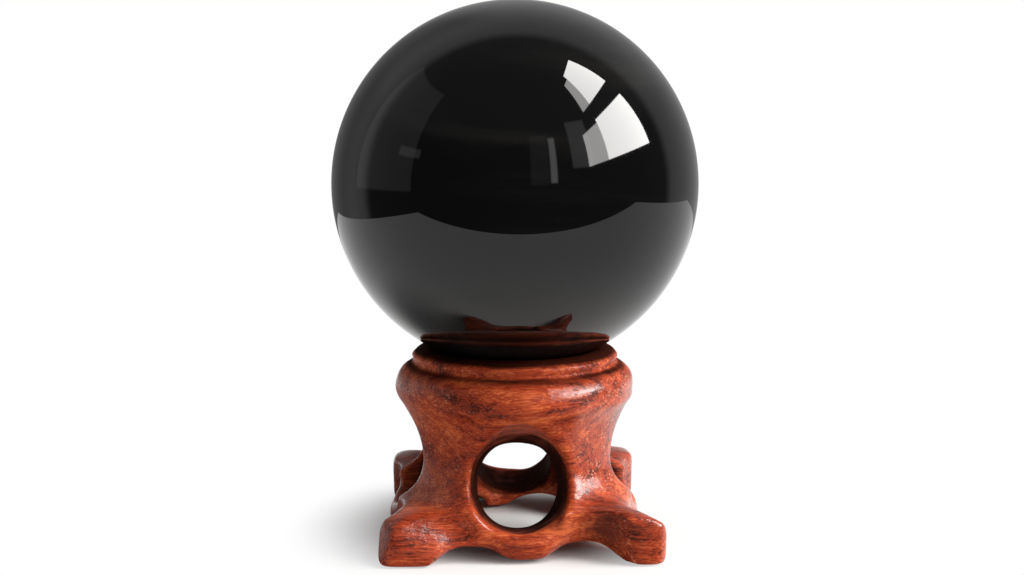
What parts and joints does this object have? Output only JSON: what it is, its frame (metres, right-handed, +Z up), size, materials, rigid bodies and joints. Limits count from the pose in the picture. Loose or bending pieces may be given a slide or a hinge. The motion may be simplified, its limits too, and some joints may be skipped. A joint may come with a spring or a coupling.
{
  "type": "crystal ball on a carved stand",
  "caption": "Polished opaque black divination ball resting freely in the dished top of a carved hardwood stand with four windows and four feet.",
  "frame": {"origin": "on the floor, under the ball's centre", "axes": "+Z up; -Y is the front, the side that faces the viewer; +X is to the viewer's right"},
  "size_m": [0.06, 0.06, 0.0878],
  "materials": {
    "ball_stone": "polished",
    "stand_wood": "satin"
  },
  "bodies": {
    "stand": {"stand": "stand_wood"},
    "ball": {"ball": "ball_stone"}
  },
  "joints": [
    {"name": "ball_lift", "type": "slide", "parent": "stand", "child": "ball", "axis": [0, 0, 1], "range_m": [0, 0.06]}
  ]
}
